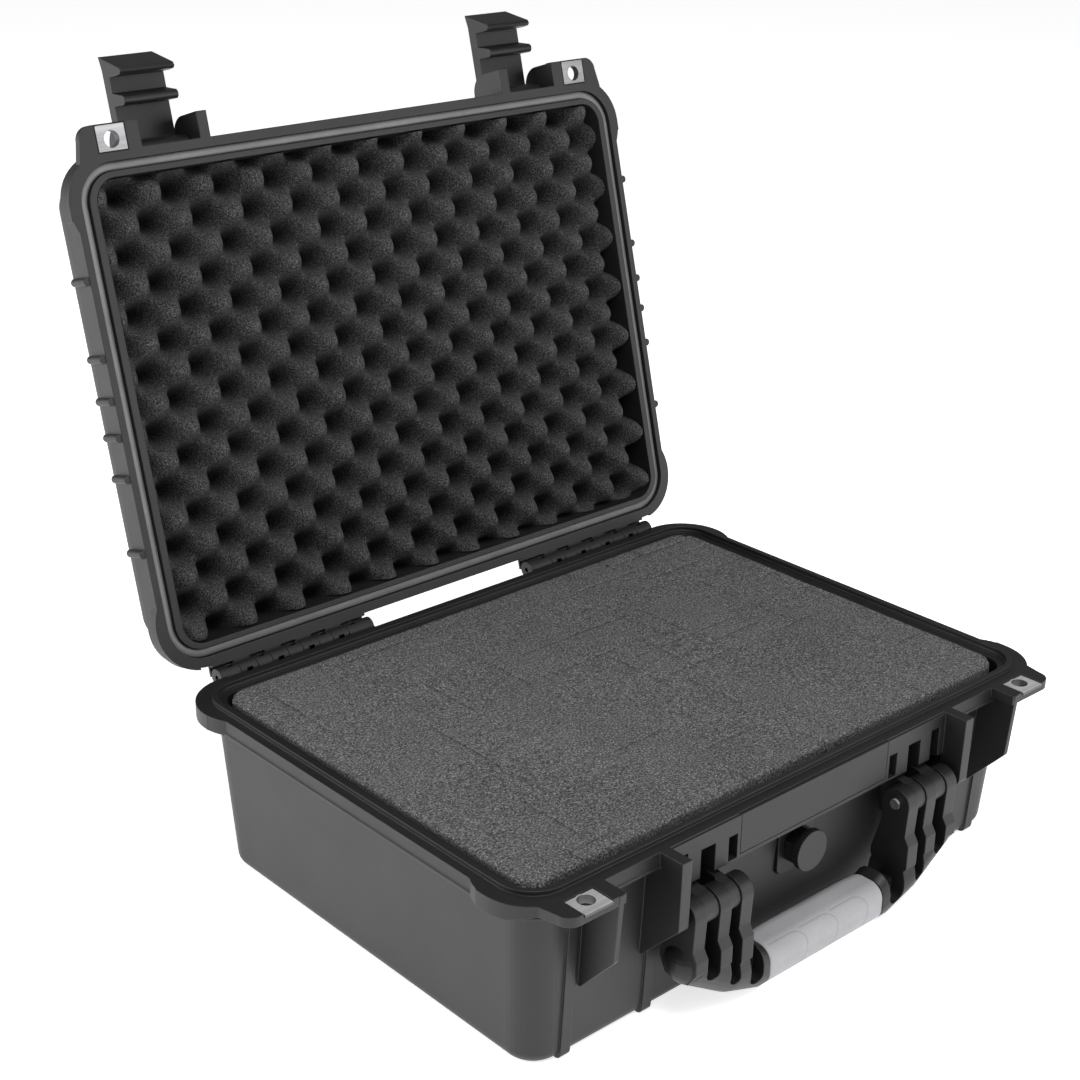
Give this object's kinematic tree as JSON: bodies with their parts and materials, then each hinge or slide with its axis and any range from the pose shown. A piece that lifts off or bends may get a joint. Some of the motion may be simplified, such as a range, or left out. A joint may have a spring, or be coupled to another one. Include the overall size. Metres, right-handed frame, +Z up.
{
  "type": "hard equipment case",
  "caption": "Foam-filled hard equipment case with a hinged lid standing open, front latches, padlock lugs, a folding carrying handle and a pressure valve.",
  "frame": {"origin": "middle of the base's flat bottom", "axes": "+X along the hinge line towards the case's right side, the latches and the handle face -Y, +Z up"},
  "size_m": [0.4124, 0.4449, 0.439],
  "materials": {
    "case": "matte",
    "foam": "matte",
    "seal": "satin",
    "steel": "satin",
    "grip": "matte"
  },
  "bodies": {
    "base": {"base_shell": "case", "bottom_foam_pad": "foam", "lower_pluck_foam": "foam", "upper_pluck_foam": "foam", "name_panel": "case", "padlock_plate_base_left": "steel", "padlock_plate_base_right": "steel", "hinge_pin_left": "steel", "hinge_pin_right": "steel", "handle_pin_left": "steel", "handle_pin_right": "steel", "valve_seat": "case", "valve_seal": "seal", "valve_nut": "case"},
    "lid": {"lid_shell": "case", "lid_foam": "foam", "lid_gasket": "seal", "padlock_plate_lid_left": "steel", "padlock_plate_lid_right": "steel", "latch_pin_left": "steel", "latch_pin_right": "steel"},
    "left_latch": {"latch_left": "case"},
    "right_latch": {"latch_right": "case"},
    "handle": {"handle_frame": "case", "handle_grip": "grip"},
    "knob": {"purge_knob": "case"}
  },
  "joints": [
    {"name": "lid_hinge", "type": "hinge", "parent": "base", "child": "lid", "pos_m": [0, 0.155, 0.1044], "axis": [1, 0, 0], "range_deg": [0, 104.45]},
    {"name": "left_latch_pivot", "type": "hinge", "parent": "lid", "child": "left_latch", "pos_m": [-0.1341, 0.24764, 0.39136], "axis": [1, 0, 0], "range_deg": [0, 90]},
    {"name": "right_latch_pivot", "type": "hinge", "parent": "lid", "child": "right_latch", "pos_m": [0.1341, 0.24764, 0.39136], "axis": [1, 0, 0], "range_deg": [0, 90]},
    {"name": "handle_pivot", "type": "hinge", "parent": "base", "child": "handle", "pos_m": [0, -0.1545, 0.068], "axis": [-1, 0, 0], "range_deg": [0, 100]},
    {"name": "purge_knob_turn", "type": "hinge", "parent": "base", "child": "knob", "pos_m": [0, -0.149, 0.0605], "axis": [0, 1, 0], "range_deg": [0, 180]}
  ]
}
